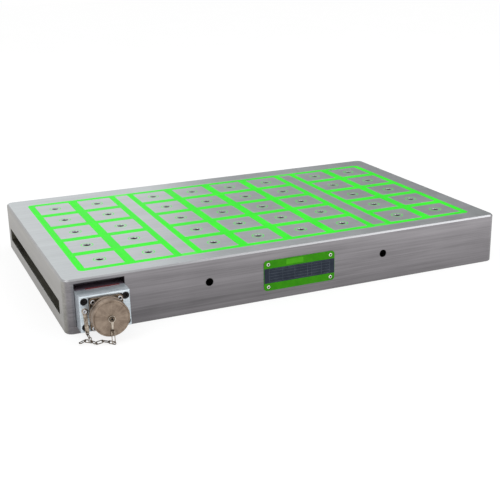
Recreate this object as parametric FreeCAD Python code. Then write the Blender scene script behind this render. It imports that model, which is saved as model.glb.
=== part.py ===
import FreeCAD, Part

import math
import os

# Square-pole magnetic chuck, millimetres.
# Origin: centre of the ground base face. +X runs along the long side, +Y to the back, +Z up.

Vec = FreeCAD.Vector

# ---------------------------------------------------------------- pole field
pole_size = 50.0            # square pole face
pole_gap = 12.5             # resin-filled gap between neighbouring poles
row_count = 5               # poles from front to back
group_columns = (2, 4, 2)   # columns of poles in each milled cavity
border_gap = 9.0            # resin strip between the outer poles and the steel
rib_width = 19.0            # solid steel rib left between two cavities
side_margin = 25.75         # steel left and right of the pole field
front_margin = 25.0         # steel in front of the pole field
back_margin = 33.0          # steel behind the pole field

# ---------------------------------------------------------------- steel body
body_height = 67.5
floor_thickness = 16.0      # steel under the cavities
corner_radius = 10.0        # upright corners of the body
top_edge_chamfer = 2.0
base_edge_chamfer = 1.0
cavity_corner_chamfer = 4.0

# ---------------------------------------------------------------- magnet stack
alnico_size = 44.0          # reversible magnet under each pole
alnico_height = 20.0
coil_wall = 6.6             # winding thickness round the reversible magnet
coil_clearance = 0.3
neodymium_seat = 3.5        # from the poles' lower face up to the permanent magnets
neodymium_end_gap = 5.0     # resin between a permanent magnet's end and its pole's corner
resin_depth = 8.0           # cast resin above the permanent magnets
pole_hole_radius = 3.4      # M8 thread, core radius
pole_hole_depth = 16.0

# ---------------------------------------------------------------- clamping slots
slot_height = 18.0
slot_bottom = 16.5
slot_depth = 14.0
slot_front_land = 28.0      # solid end of the slot towards the front
slot_back_land = 24.0

# ---------------------------------------------------------------- lifting holes
lifting_spacing = 246.0
lifting_height = 37.5
lifting_radius = 5.1        # M12 thread, core radius
lifting_depth = 20.0

# ---------------------------------------------------------------- nameplate
plate_length = 100.0
plate_height = 40.0
plate_thickness = 0.8
plate_corner_radius = 4.5
plate_z = 32.8

# ---------------------------------------------------------------- connector block
block_width = 60.0
block_height = 44.0
block_bottom = 9.5
block_from_side = 13.0      # from the left side of the body
block_stand_out = 22.5      # in front of the body's face
block_edge_chamfer = 1.0
pocket_side_clearance = 0.5
pocket_depth = 17.0
pocket_roof = 5.0           # steel left above the pocket
block_gasket_thickness = 1.0
gasket_lip = 0.8            # red gasket showing above the block
block_screw_from_side = 5.5
block_screw_from_top = 6.25
block_screw_radius = 2.5
block_screw_head_radius = 4.25
block_screw_head_height = 5.0
block_screw_recess = 5.6
block_screw_grip = 6.5      # thread length in the body
screw_clearance = 0.3
thread_clearance = 0.05
gasket_screw_gap = 3.0      # between a screw and the gasket's cut-away corner

# ---------------------------------------------------------------- flats of small round pieces
shank_sides = 6
small_sides = 12
bore_sides = 24             # large bores that nothing round runs in
overshoot = 1.0             # how far a cutting tool runs past a face

# ---------------------------------------------------------------- receptacle
connector_offset_x = 0.5    # connector axis from the block's centre
connector_offset_z = -0.5
flange_size = 40.0
flange_thickness = 3.2
flange_gasket_thickness = 0.8
barrel_radius = 18.9
barrel_wall = 2.5
barrel_length = 14.5
shell_rear_radius = 16.6
shell_rear_length = 12.0
insert_radius = 14.4
insert_front = 5.0          # insert face in front of the block's face
insert_clearance = 0.1
block_bore_radius = 17.2
contact_count = 4
contact_circle_radius = 8.0
contact_radius = 1.6
contact_length = 9.0        # pin standing out of the insert
wire_bundle_radius = 5.0
duct_clearance = 0.5
jumper_width = 9.0          # flat lead between the coils of neighbouring cavities
jumper_thickness = 4.0

# ---------------------------------------------------------------- dust cap
cap_radius = 22.0
cap_front_wall = 2.5
cap_thread_clearance = 0.3
cap_rear_gap = 3.0          # between the cap and the flange when screwed home
cap_edge_chamfer = 0.8
seal_thickness = 2.2
seal_gap = 0.3
seal_bore_radius = 5.0
cap_rivet_radius = 2.0
cap_rivet_head_radius = 3.5
cap_rivet_head_height = 1.0
pivot_fit = 0.06
swivel_gap = 0.3

# ---------------------------------------------------------------- tab and chain
tab_thickness = 1.0
tab_top_radius = 4.2
tab_neck_width = 3.4
tab_length = 14.5           # rivet centre to the rolled eye
rolled_eye_radius = 1.1     # inside
rolled_eye_wall = 0.7
rolled_eye_length = 2.6
chain_wire = 1.1            # square section of the stamped links
chain_eye_radius = 1.1      # inside radius of a link's round end
chain_end_sides = 6         # flats that make up one round end
chain_pitch = 8.3
hanger_width = 5.4
open_pivot_play = 1.0
link_headings = (131.0, 135.0, 195.0, 110.0, 140.0)
tail_heading = 215.0
tail_pitch = 8.3
ring_along_link = -1.9      # place of the ring along the last link
ring_heading = 110.0
ring_wire = 0.8
ring_mean_radius = 2.5
lug_thickness = 0.8
lug_eye_radius = 2.05
lug_hole_radius = 1.05
lug_eye_z = 8.0
lug_top_radius = 3.6
lug_top_left = 25.0         # lug's upper end, left of the connector's axis
lug_top_above = 5.0         # and above it

# ---------------------------------------------------------------- derived places
pole_pitch = pole_size + pole_gap
rib_pitch = pole_size + 2 * border_gap + rib_width
half_field = pole_size / 2 + border_gap
body_width = front_margin + back_margin + 2 * half_field + (row_count - 1) * pole_pitch
field_span = (sum(group_columns) - len(group_columns)) * pole_pitch
field_span += (len(group_columns) - 1) * rib_pitch
body_length = field_span + 2 * half_field + 2 * side_margin
left_side = -body_length / 2
front_face = -body_width / 2
back_face = body_width / 2
pole_bottom = floor_thickness + alnico_height
neodymium_bottom = pole_bottom + neodymium_seat
neodymium_top = body_height - resin_depth
neodymium_length = pole_size - 2 * neodymium_end_gap
coil_inner = alnico_size + 2 * coil_clearance
coil_outer = coil_inner + 2 * coil_wall

row_places = [front_face + front_margin + half_field + i * pole_pitch for i in range(row_count)]


def column_groups():
    groups = []
    x = left_side + side_margin + half_field
    for count in group_columns:
        groups.append([x + i * pole_pitch for i in range(count)])
        x += (count - 1) * pole_pitch + rib_pitch
    return groups


pole_groups = column_groups()
column_places = [x for group in pole_groups for x in group]

block_centre_x = left_side + block_from_side + block_width / 2
block_centre_z = block_bottom + block_height / 2
block_face = front_face - block_stand_out
pocket_back = front_face + pocket_depth
connector_x = block_centre_x + connector_offset_x
connector_z = block_centre_z + connector_offset_z
flange_front = flange_gasket_thickness + flange_thickness
barrel_front = flange_front + barrel_length
cap_rear = flange_front + cap_rear_gap
cap_bore_end = barrel_front + seal_gap + seal_thickness
cap_front = cap_bore_end + cap_front_wall
tab_rear = cap_front + swivel_gap
rolled_eye_out = tab_rear + rolled_eye_radius + rolled_eye_wall
hanger_y = block_face - rolled_eye_out
link_width = 2 * (chain_eye_radius + chain_wire)
chain_axis_z = link_width / 2
rolled_eye_z = connector_z - tab_length
lug_top_x = connector_x - lug_top_left
lug_top_z = connector_z + lug_top_above


# ---------------------------------------------------------------- small tools
def box(x0, x1, y0, y1, z0, z1):
    return Part.makeBox(x1 - x0, y1 - y0, z1 - z0, Vec(x0, y0, z0))


def centred_box(x, y, width, depth, z0, z1):
    return box(x - width / 2, x + width / 2, y - depth / 2, y + depth / 2, z0, z1)


def rod(radius, start, end, x=0.0, y=0.0):
    # cylinder along Z
    return Part.makeCylinder(radius, end - start, Vec(x, y, start))


def prism(sides, radius, start, end, x=0.0, y=0.0):
    corners = []
    for i in range(sides + 1):
        turn = 2 * math.pi * i / sides
        corners.append(Vec(x + radius * math.cos(turn), y + radius * math.sin(turn), start))
    face = Part.Face(Part.makePolygon(corners))
    return face.extrude(Vec(0, 0, end - start))


def hidden_bore(radius, start, end, x=0.0, y=0.0):
    # flat-sided bore that still clears a round piece of the given radius
    return prism(bore_sides, radius / math.cos(math.pi / bore_sides), start, end, x, y)


def upright_edges(shape):
    return [e for e in shape.Edges
            if len(e.Vertexes) == 2
            and abs(e.Vertexes[0].X - e.Vertexes[1].X) < 1e-6
            and abs(e.Vertexes[0].Y - e.Vertexes[1].Y) < 1e-6]


def edges_at_height(shape, z):
    return [e for e in shape.Edges if all(abs(v.Z - z) < 1e-6 for v in e.Vertexes)]


def rounded_box(x0, x1, y0, y1, z0, z1, radius):
    block = box(x0, x1, y0, y1, z0, z1)
    return block.makeFillet(radius, upright_edges(block))


def cut_corner_box(x0, x1, y0, y1, z0, z1, chamfer):
    block = box(x0, x1, y0, y1, z0, z1)
    return block.makeChamfer(chamfer, upright_edges(block))


def fuse_all(shapes):
    return shapes[0].multiFuse(shapes[1:]).removeSplitter()


def facing_front(shape, x, y, z):
    # turns a shape built along +Z so that it points to -Y, its local +Y becoming +Z
    turned = shape.copy()
    turned.rotate(Vec(0, 0, 0), Vec(1, 0, 0), 90)
    turned.translate(Vec(x, y, z))
    return turned


def on_connector(shape):
    # local Z counts outwards from the block's front face on the connector's axis
    return facing_front(shape, connector_x, block_face, connector_z)


def square_corners(spacing_x, spacing_y):
    return [(sx * spacing_x / 2, sy * spacing_y / 2) for sx in (-1, 1) for sy in (-1, 1)]


def save(name, solids):
    shape = solids if isinstance(solids, Part.Shape) else Part.makeCompound(solids)
    for solid in shape.Solids:
        if not solid.isValid():
            raise ValueError(name + " holds a solid that is not valid")
    shape.exportStep("parts/" + name + ".step")


# ---------------------------------------------------------------- steel body
def cavity_bounds(group):
    x0 = group[0] - half_field
    x1 = group[-1] + half_field
    return x0, x1, row_places[0] - half_field, row_places[-1] + half_field


def slot_tool(side):
    x_outer = side * (body_length / 2 + overshoot)
    x_inner = side * (body_length / 2 - slot_depth)
    return box(min(x_outer, x_inner), max(x_outer, x_inner), front_face + slot_front_land,
               back_face - slot_back_land, slot_bottom, slot_bottom + slot_height)


def pocket_tool():
    half = block_width / 2 + pocket_side_clearance
    return box(block_centre_x - half, block_centre_x + half, front_face - overshoot, pocket_back,
               block_bottom - pocket_side_clearance, body_height - pocket_roof)


def lifting_tools():
    tools = []
    for x in (-lifting_spacing / 2, lifting_spacing / 2):
        hole = rod(lifting_radius, -lifting_depth, overshoot)
        tools.append(facing_front(hole, x, front_face, lifting_height))
        hole = rod(lifting_radius, -overshoot, lifting_depth)
        tools.append(facing_front(hole, x, back_face, lifting_height))
    return tools


def block_screw_places():
    return square_corners(block_width - 2 * block_screw_from_side,
                          block_height - 2 * block_screw_from_top)


def block_hole_tools():
    tools = []
    radius = block_screw_radius + thread_clearance
    for x, z in block_screw_places():
        hole = prism(shank_sides, radius, -block_screw_grip, overshoot, x, z)
        tools.append(facing_front(hole, block_centre_x, pocket_back, block_centre_z))
    return tools


def duct_tools():
    # wire duct from the pocket into the first cavity, and one through each rib
    reach = row_places[0] - half_field - pocket_back
    radius = wire_bundle_radius + duct_clearance
    duct = prism(small_sides, radius, -reach - overshoot, overshoot)
    ducts = [facing_front(duct, connector_x, pocket_back, connector_z)]
    for left_group, right_group in zip(pole_groups, pole_groups[1:]):
        x0 = left_group[-1] + half_field
        x1 = right_group[0] - half_field
        ducts.append(jumper_box(x0 - overshoot, x1 + overshoot, duct_clearance))
    return ducts


def jumper_box(x0, x1, clearance):
    half = jumper_width / 2 + clearance
    top = floor_thickness + jumper_thickness + clearance
    return box(x0, x1, row_places[0] - half, row_places[0] + half, floor_thickness, top)


def chuck_body():
    body = rounded_box(left_side, -left_side, front_face, back_face, 0, body_height, corner_radius)
    body = body.makeChamfer(top_edge_chamfer, edges_at_height(body, body_height))
    body = body.makeChamfer(base_edge_chamfer, edges_at_height(body, 0))
    tools = [slot_tool(-1), slot_tool(1), pocket_tool()]
    for group in pole_groups:
        x0, x1, y0, y1 = cavity_bounds(group)
        tools.append(cut_corner_box(x0, x1, y0, y1, floor_thickness, body_height + overshoot,
                                    cavity_corner_chamfer))
    tools += lifting_tools()
    tools += block_hole_tools()
    tools += duct_tools()
    return body.cut(tools)


# ---------------------------------------------------------------- poles and magnets
def pole(x, y):
    block = centred_box(x, y, pole_size, pole_size, pole_bottom, body_height)
    return block.cut(rod(pole_hole_radius, body_height - pole_hole_depth, body_height + overshoot, x, y))


def pole_column(x):
    return [pole(x, y) for y in row_places]


def every_pole(make):
    return [make(x, y) for x in column_places for y in row_places]


def alnico_magnet(x, y):
    return centred_box(x, y, alnico_size, alnico_size, floor_thickness, pole_bottom)


def coil(x, y):
    top = pole_bottom - coil_clearance
    outer = centred_box(x, y, coil_outer, coil_outer, floor_thickness, top)
    inner = centred_box(x, y, coil_inner, coil_inner, floor_thickness - overshoot, top + overshoot)
    return outer.cut(inner)


def neodymium(x, y, width, depth):
    return centred_box(x, y, width, depth, neodymium_bottom, neodymium_top)


def row_magnets():
    # between a pole and the next one towards the back
    step = pole_pitch / 2
    return [neodymium(x, y + step, neodymium_length, pole_gap)
            for x in column_places for y in row_places[:-1]]


def column_magnets():
    # between a pole and the next one to the right in the same cavity
    step = pole_pitch / 2
    return [neodymium(x + step, y, pole_gap, neodymium_length)
            for group in pole_groups for x in group[:-1] for y in row_places]


def border_magnets():
    # one bar along each wall of each cavity, against the outer poles
    magnets = []
    offset = (pole_size + border_gap) / 2
    depth = row_places[-1] - row_places[0] + neodymium_length
    middle = (row_places[0] + row_places[-1]) / 2
    for group in pole_groups:
        width = group[-1] - group[0] + neodymium_length
        centre = (group[0] + group[-1]) / 2
        magnets.append(neodymium(centre, row_places[0] - offset, width, border_gap))
        magnets.append(neodymium(centre, row_places[-1] + offset, width, border_gap))
        magnets.append(neodymium(group[0] - offset, middle, border_gap, depth))
        magnets.append(neodymium(group[-1] + offset, middle, border_gap, depth))
    return magnets


def resin_fill(group):
    x0, x1, y0, y1 = cavity_bounds(group)
    slab = cut_corner_box(x0, x1, y0, y1, body_height - resin_depth, body_height,
                          cavity_corner_chamfer)
    openings = [centred_box(x, y, pole_size, pole_size, 0, body_height + overshoot)
                for x in group for y in row_places]
    return slab.cut(openings)


def rib_jumpers():
    # flat leads on the cavity floor that join the coils of neighbouring cavities
    return [jumper_box(left_group[-1] + coil_outer / 2, right_group[0] - coil_outer / 2, 0)
            for left_group, right_group in zip(pole_groups, pole_groups[1:])]


# ---------------------------------------------------------------- nameplate
def nameplate():
    half_x = plate_length / 2
    half_z = plate_height / 2
    plate = rounded_box(-half_x, half_x, -half_z, half_z, 0, plate_thickness, plate_corner_radius)
    return facing_front(plate, 0, front_face, plate_z)


# ---------------------------------------------------------------- connector block
def connector_block():
    depth = pocket_back - block_gasket_thickness - block_face
    half_x = block_width / 2
    half_z = block_height / 2
    block = box(-half_x, half_x, -half_z, half_z, -depth, 0)
    block = block.makeChamfer(block_edge_chamfer, edges_at_height(block, 0))
    rear = -depth - overshoot
    shank_radius = block_screw_radius + screw_clearance
    head_radius = block_screw_head_radius + screw_clearance
    tools = [hidden_bore(block_bore_radius, rear, overshoot, connector_offset_x, connector_offset_z)]
    for x, z in block_screw_places():
        tools.append(prism(shank_sides, shank_radius, rear, overshoot, x, z))
        tools.append(prism(small_sides, head_radius, -block_screw_recess, overshoot, x, z))
    return facing_front(block.cut(tools), block_centre_x, block_face, block_centre_z)


def block_gasket():
    # sheet with its corners cut away round the screws, and a lip showing above the block
    half_x = block_width / 2
    half_z = block_height / 2
    sheet = box(-half_x, half_x, -half_z, half_z + gasket_lip, 0, block_gasket_thickness)
    rear = -overshoot
    front = block_gasket_thickness + overshoot
    notch_x = 2 * (block_screw_from_side + block_screw_radius + gasket_screw_gap)
    notch_z = 2 * (block_screw_from_top + block_screw_radius + gasket_screw_gap)
    tools = [centred_box(x, z, notch_x, notch_z, rear, front)
             for x, z in square_corners(block_width, block_height)]
    tools.append(hidden_bore(block_bore_radius, rear, front, connector_offset_x, connector_offset_z))
    return facing_front(sheet.cut(tools), block_centre_x, pocket_back, block_centre_z)


def block_screws():
    screws = []
    start = block_face - pocket_back - block_screw_grip
    for x, z in block_screw_places():
        shank = prism(shank_sides, block_screw_radius, start, -block_screw_recess, x, z)
        head = prism(small_sides, block_screw_head_radius, -block_screw_recess,
                     block_screw_head_height - block_screw_recess, x, z)
        screws.append(facing_front(shank.fuse(head), block_centre_x, block_face, block_centre_z))
    return screws


# ---------------------------------------------------------------- receptacle
def flange_gasket():
    half = flange_size / 2
    sheet = box(-half, half, -half, half, 0, flange_gasket_thickness)
    bore = hidden_bore(block_bore_radius, -overshoot, flange_gasket_thickness + overshoot)
    return on_connector(sheet.cut(bore))


def receptacle_shell():
    half = flange_size / 2
    flange = box(-half, half, -half, half, flange_gasket_thickness, flange_front)
    shell = fuse_all([flange, rod(barrel_radius, flange_front, barrel_front),
                      prism(small_sides, shell_rear_radius, -shell_rear_length,
                            flange_gasket_thickness)])
    tools = [hidden_bore(barrel_radius - barrel_wall, flange_front, barrel_front + overshoot),
             prism(small_sides, insert_radius + insert_clearance, -shell_rear_length - overshoot,
                   flange_front + overshoot)]
    return on_connector(shell.cut(tools))


def receptacle_insert():
    return on_connector(prism(small_sides, insert_radius, -shell_rear_length, insert_front))


def contact_pins():
    step = 2 * math.pi / contact_count
    pins = []
    for i in range(contact_count):
        x = contact_circle_radius * math.sin(i * step)
        z = contact_circle_radius * math.cos(i * step)
        pin = prism(shank_sides, contact_radius, insert_front, insert_front + contact_length, x, z)
        pins.append(on_connector(pin))
    return pins


def wire_bundle():
    # from the back of the insert through the block and its duct to the first coil
    first_coil = block_face - (row_places[0] - coil_outer / 2)
    return on_connector(prism(small_sides, wire_bundle_radius, first_coil, -shell_rear_length))


# ---------------------------------------------------------------- dust cap
def dust_cap():
    cap = rod(cap_radius, cap_rear, cap_front)
    cap = cap.makeChamfer(cap_edge_chamfer, edges_at_height(cap, cap_front))
    bore = hidden_bore(barrel_radius + cap_thread_clearance, cap_rear - overshoot, cap_bore_end)
    pivot = rod(cap_rivet_radius + pivot_fit, cap_bore_end - overshoot, cap_front + overshoot)
    return on_connector(cap.cut([bore, pivot]))


def cap_seal():
    front = cap_bore_end
    rear = cap_bore_end - seal_thickness
    outer = prism(small_sides, barrel_radius, rear, front)
    inner = prism(small_sides, seal_bore_radius, rear - overshoot, front + overshoot)
    return on_connector(outer.cut(inner))


def cap_rivet():
    shank = rod(cap_rivet_radius, cap_bore_end - swivel_gap, tab_rear + tab_thickness)
    inner_head = prism(small_sides, cap_rivet_head_radius,
                       cap_bore_end - swivel_gap - cap_rivet_head_height, cap_bore_end - swivel_gap)
    top = tab_rear + tab_thickness + cap_rivet_head_height
    outer_head = prism(small_sides, cap_rivet_head_radius, tab_rear + tab_thickness, top)
    return on_connector(fuse_all([shank, inner_head, outer_head]))


def rolled(shape):
    # lays a shape built along Z across the foot of the tab
    laid = shape.copy()
    laid.rotate(Vec(0, 0, 0), Vec(0, 1, 0), 90)
    laid.translate(Vec(0, -tab_length, rolled_eye_out))
    return laid


def cap_tab():
    # flat strip hanging from the rivet, rolled at its foot into an eye that lies along X
    head = prism(small_sides, tab_top_radius, tab_rear, tab_rear + tab_thickness)
    half = tab_neck_width / 2
    foot = rolled_eye_length / 2
    outline = Part.makePolygon([Vec(-half, 0, tab_rear), Vec(half, 0, tab_rear),
                                Vec(foot, -tab_length, tab_rear), Vec(-foot, -tab_length, tab_rear),
                                Vec(-half, 0, tab_rear)])
    strip = Part.Face(outline).extrude(Vec(0, 0, tab_thickness))
    eye_outer = rolled(prism(small_sides, rolled_eye_radius + rolled_eye_wall, -foot, foot))
    eye_inner = rolled(prism(small_sides, rolled_eye_radius, -foot - overshoot, foot + overshoot))
    tab = fuse_all([head, strip, eye_outer])
    pivot = rod(cap_rivet_radius + pivot_fit, tab_rear - overshoot, tab_rear + tab_thickness + overshoot)
    return on_connector(tab.cut([eye_inner, pivot]))


# ---------------------------------------------------------------- chain
def racetrack(length, radius, thickness):
    # round-ended plate along X in the XY plane, centred on the origin
    straight = length / 2 - radius
    corners = []
    for side in (1, -1):
        for i in range(chain_end_sides + 1):
            turn = math.pi * (i / chain_end_sides - 0.5)
            corners.append(Vec(side * (straight + radius * math.cos(turn)),
                               side * radius * math.sin(turn), -thickness / 2))
    face = Part.Face(Part.makePolygon(corners + corners[:1]))
    return face.extrude(Vec(0, 0, thickness))


def slotted(inner_length):
    # stamped link with a round-ended hole of the given length
    outer = racetrack(inner_length + 2 * chain_wire, chain_eye_radius + chain_wire, chain_wire)
    return outer.cut(racetrack(inner_length, chain_eye_radius, chain_wire + 2 * overshoot))


def link_inner_length(pitch):
    return pitch + chain_eye_radius - chain_wire / 2


def laid_link(pitch, heading, centre, on_edge):
    link = slotted(link_inner_length(pitch))
    if on_edge:
        link.rotate(Vec(0, 0, 0), Vec(1, 0, 0), 90)
    link.rotate(Vec(0, 0, 0), Vec(0, 0, 1), heading)
    link.translate(centre)
    return link


def heading_vector(heading):
    turn = math.radians(heading)
    return Vec(math.cos(turn), math.sin(turn), 0)


hanger_foot = Vec(connector_x, hanger_y, chain_axis_z)


def chain_places():
    # centre and end pivot of each link that lies on the floor
    reach = (link_inner_length(chain_pitch) / 2) - chain_eye_radius
    point = hanger_foot
    places = []
    for number, heading in enumerate(link_headings):
        direction = heading_vector(heading)
        on_edge = number % 2 == 0
        if number == 0:
            centre = point + direction * (reach - open_pivot_play)
        elif on_edge:
            centre = point + direction * (reach + chain_eye_radius + chain_wire / 2)
        else:
            centre = point + direction * reach
        end = reach + chain_eye_radius + chain_wire / 2 if on_edge else reach
        point = centre + direction * end
        places.append((centre, point, heading, on_edge))
    return places


def chain_link(place):
    centre, end, heading, on_edge = place
    return laid_link(chain_pitch, heading, centre, on_edge)


def chain_tail(places):
    reach = (link_inner_length(tail_pitch) / 2) - chain_eye_radius
    centre = places[-1][1] + heading_vector(tail_heading) * reach
    return laid_link(tail_pitch, tail_heading, centre, False)


def chain_hanger():
    # long link between the tab's rolled eye and the first link on the floor
    top = rolled_eye_z + chain_wire / 2
    bottom = chain_axis_z - chain_wire / 2
    half = hanger_width / 2
    outer = cut_corner_box(-half, half, bottom, top, -chain_wire / 2, chain_wire / 2, chain_wire / 2)
    inner = box(chain_wire - half, half - chain_wire, bottom + chain_wire, top - chain_wire,
                -chain_wire, chain_wire)
    return facing_front(outer.cut(inner), connector_x, hanger_y, 0)


def ring_centre(places):
    centre, end, heading, on_edge = places[-1]
    spot = centre + heading_vector(heading) * ring_along_link
    return spot + Vec(0, 0, ring_mean_radius)


def chain_ring(places):
    half = ring_wire / 2
    ring = prism(small_sides, ring_mean_radius + half, -half, half)
    ring = ring.cut(prism(small_sides, ring_mean_radius - half, -overshoot, overshoot))
    ring.rotate(Vec(0, 0, 0), Vec(0, 1, 0), 90)
    ring.rotate(Vec(0, 0, 0), Vec(0, 0, 1), ring_heading)
    ring.translate(ring_centre(places))
    return ring


def lug_rim():
    # middle of the steel under the lug's hole, where the strand hangs
    rim_depth = lug_eye_radius - lug_hole_radius
    return lug_eye_z - lug_hole_radius - rim_depth / 2


def chain_strand(places):
    ring = ring_centre(places)
    start = Vec(ring.x, block_face - lug_thickness / 2, lug_rim())
    end = ring + Vec(0, 0, ring_mean_radius)
    span = end - start
    strand = slotted(span.Length + 2 * chain_eye_radius)
    strand.rotate(Vec(0, 0, 0), Vec(1, 0, 0), 90)
    strand.rotate(Vec(0, 0, 0), Vec(0, 0, 1), 90)
    lift = math.degrees(math.atan2(span.z, -span.y))
    strand.rotate(Vec(0, 0, 0), Vec(1, 0, 0), -lift)
    strand.translate((start + end) * 0.5)
    return strand


def chain_lug(places):
    # flat strip screwed to the block, with an eye below the block for the strand
    foot_x = ring_centre(places).x
    eye = prism(small_sides, lug_eye_radius, 0, lug_thickness, foot_x, lug_eye_z)
    head = prism(small_sides, lug_top_radius, 0, lug_thickness, lug_top_x, lug_top_z)
    half = lug_eye_radius
    outline = Part.makePolygon([Vec(foot_x - half, lug_eye_z, 0), Vec(foot_x + half, lug_eye_z, 0),
                                Vec(lug_top_x + half, lug_top_z, 0), Vec(lug_top_x - half, lug_top_z, 0),
                                Vec(foot_x - half, lug_eye_z, 0)])
    strip = Part.Face(outline).extrude(Vec(0, 0, lug_thickness))
    lug = fuse_all([eye, strip, head])
    hole = prism(small_sides, lug_hole_radius, -overshoot, lug_thickness + overshoot, foot_x,
                 lug_eye_z)
    return facing_front(lug.cut(hole), 0, block_face, 0)


# ---------------------------------------------------------------- build
def build():
    os.makedirs("parts", exist_ok=True)
    save("chuck_body", chuck_body())
    for number, x in enumerate(column_places, 1):
        save("pole_column_%d" % number, pole_column(x))
    save("alnico_magnets", every_pole(alnico_magnet))
    save("coils", every_pole(coil))
    save("row_magnets", row_magnets())
    save("column_magnets", column_magnets())
    save("border_magnets", border_magnets())
    for name, group in zip(("left", "middle", "right"), pole_groups):
        save("resin_fill_" + name, resin_fill(group))
    save("rib_jumpers", rib_jumpers())
    save("wire_bundle", wire_bundle())
    save("nameplate", nameplate())
    save("connector_block", connector_block())
    save("block_gasket", block_gasket())
    save("block_screws", block_screws())
    save("flange_gasket", flange_gasket())
    save("receptacle_shell", receptacle_shell())
    save("receptacle_insert", receptacle_insert())
    save("contact_pins", contact_pins())
    save("dust_cap", dust_cap())
    save("cap_seal", cap_seal())
    save("cap_rivet", cap_rivet())
    save("cap_tab", cap_tab())
    save("chain_hanger", chain_hanger())
    places = chain_places()
    for number, place in enumerate(places, 1):
        save("chain_link_%d" % number, chain_link(place))
    save("chain_tail", chain_tail(places))
    save("chain_ring", chain_ring(places))
    save("chain_strand", chain_strand(places))
    save("chain_lug", chain_lug(places))


build()
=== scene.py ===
import math

import bpy
from mathutils import Matrix, Vector


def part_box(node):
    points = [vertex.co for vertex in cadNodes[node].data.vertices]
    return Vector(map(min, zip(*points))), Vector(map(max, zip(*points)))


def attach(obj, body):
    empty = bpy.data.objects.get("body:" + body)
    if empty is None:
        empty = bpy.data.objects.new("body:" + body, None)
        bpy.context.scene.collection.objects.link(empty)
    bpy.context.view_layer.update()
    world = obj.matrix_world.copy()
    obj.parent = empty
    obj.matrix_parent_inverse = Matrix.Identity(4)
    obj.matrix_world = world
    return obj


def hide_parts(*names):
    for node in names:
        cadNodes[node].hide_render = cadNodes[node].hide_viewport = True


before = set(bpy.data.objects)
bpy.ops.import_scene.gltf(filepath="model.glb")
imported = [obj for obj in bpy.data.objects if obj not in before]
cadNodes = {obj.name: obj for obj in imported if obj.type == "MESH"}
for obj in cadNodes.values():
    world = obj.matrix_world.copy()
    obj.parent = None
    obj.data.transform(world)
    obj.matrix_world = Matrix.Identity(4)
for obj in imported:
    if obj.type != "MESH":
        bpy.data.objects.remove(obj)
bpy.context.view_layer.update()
mm = 0.001  # dictionaries below are in millimetres
scene = bpy.context.scene
world = bpy.data.worlds.new("studio")
scene.world = world


def tone(red, green, blue):
    # screen colour 0-255 to a linear one
    def one(c):
        c = c / 255
        return c / 12.92 if c <= 0.04045 else ((c + 0.055) / 1.055) ** 2.4
    return (one(red), one(green), one(blue), 1)


def shade(colour, factor):
    return (colour[0] * factor, colour[1] * factor, colour[2] * factor, 1)


# node helpers, each returns the socket that the next node takes

def startMaterial(name, metallic, roughness, **socketShades):
    material = bpy.data.materials.new(name)
    material.use_nodes = True
    tree = material.node_tree
    shader = tree.nodes["Principled BSDF"]
    shader.inputs["Metallic"].default_value = metallic
    shader.inputs["Roughness"].default_value = roughness
    for label, value in socketShades.items():
        shader.inputs[label.replace("_", " ")].default_value = value
    return material, tree, shader


def plug(tree, source, target):
    if isinstance(source, (int, float, tuple, list)):
        target.default_value = source
    else:
        tree.links.new(source, target)


def piecePlace(tree, output="Object"):
    return tree.nodes.new("ShaderNodeTexCoord").outputs[output]


def stretched(tree, place, scale):
    mapping = tree.nodes.new("ShaderNodeMapping")
    mapping.inputs["Scale"].default_value = scale
    plug(tree, place, mapping.inputs["Vector"])
    return mapping.outputs["Vector"]


def cloud(tree, place, scale, detail=4, roughness=0.55, distortion=0):
    noise = tree.nodes.new("ShaderNodeTexNoise")
    noise.inputs["Scale"].default_value = scale
    noise.inputs["Detail"].default_value = detail
    noise.inputs["Roughness"].default_value = roughness
    noise.inputs["Distortion"].default_value = distortion
    plug(tree, place, noise.inputs["Vector"])
    return noise.outputs["Fac"]


def span(tree, value, fromLow, fromHigh, toLow, toHigh, soft=False):
    ranged = tree.nodes.new("ShaderNodeMapRange")
    ranged.interpolation_type = "SMOOTHSTEP" if soft else "LINEAR"
    plug(tree, value, ranged.inputs["Value"])
    ends = {"From Min": fromLow, "From Max": fromHigh, "To Min": toLow, "To Max": toHigh}
    for label, number in ends.items():
        ranged.inputs[label].default_value = number
    return ranged.outputs["Result"]


def maths(tree, operation, first, second=0.0):
    made = tree.nodes.new("ShaderNodeMath")
    made.operation = operation
    plug(tree, first, made.inputs[0])
    plug(tree, second, made.inputs[1])
    return made.outputs["Value"]


def product(tree, first, *others):
    for other in others:
        first = maths(tree, "MULTIPLY", first, other)
    return first


def weighed(tree, first, firstShare, second, secondShare):
    return maths(tree, "ADD", product(tree, first, firstShare), product(tree, second, secondShare))


def within(tree, value, low, high):
    above = maths(tree, "GREATER_THAN", value, low * mm)
    return product(tree, above, maths(tree, "LESS_THAN", value, high * mm))


def axes(tree, place):
    split = tree.nodes.new("ShaderNodeSeparateXYZ")
    plug(tree, place, split.inputs["Vector"])
    return split.outputs["X"], split.outputs["Y"], split.outputs["Z"]


def bundled(tree, x, y, z):
    vector = tree.nodes.new("ShaderNodeCombineXYZ")
    for label, value in (("X", x), ("Y", y), ("Z", z)):
        plug(tree, value, vector.inputs[label])
    return vector.outputs["Vector"]


def blendValue(tree, factor, first, second):
    mix = tree.nodes.new("ShaderNodeMix")
    plug(tree, factor, mix.inputs[0])
    plug(tree, first, mix.inputs[2])
    plug(tree, second, mix.inputs[3])
    return mix.outputs[0]


def blendColour(tree, factor, first, second, mode="MIX"):
    mix = tree.nodes.new("ShaderNodeMix")
    mix.data_type = "RGBA"
    mix.blend_type = mode
    plug(tree, factor, mix.inputs[0])
    plug(tree, first, mix.inputs[6])
    plug(tree, second, mix.inputs[7])
    return mix.outputs[2]


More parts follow.
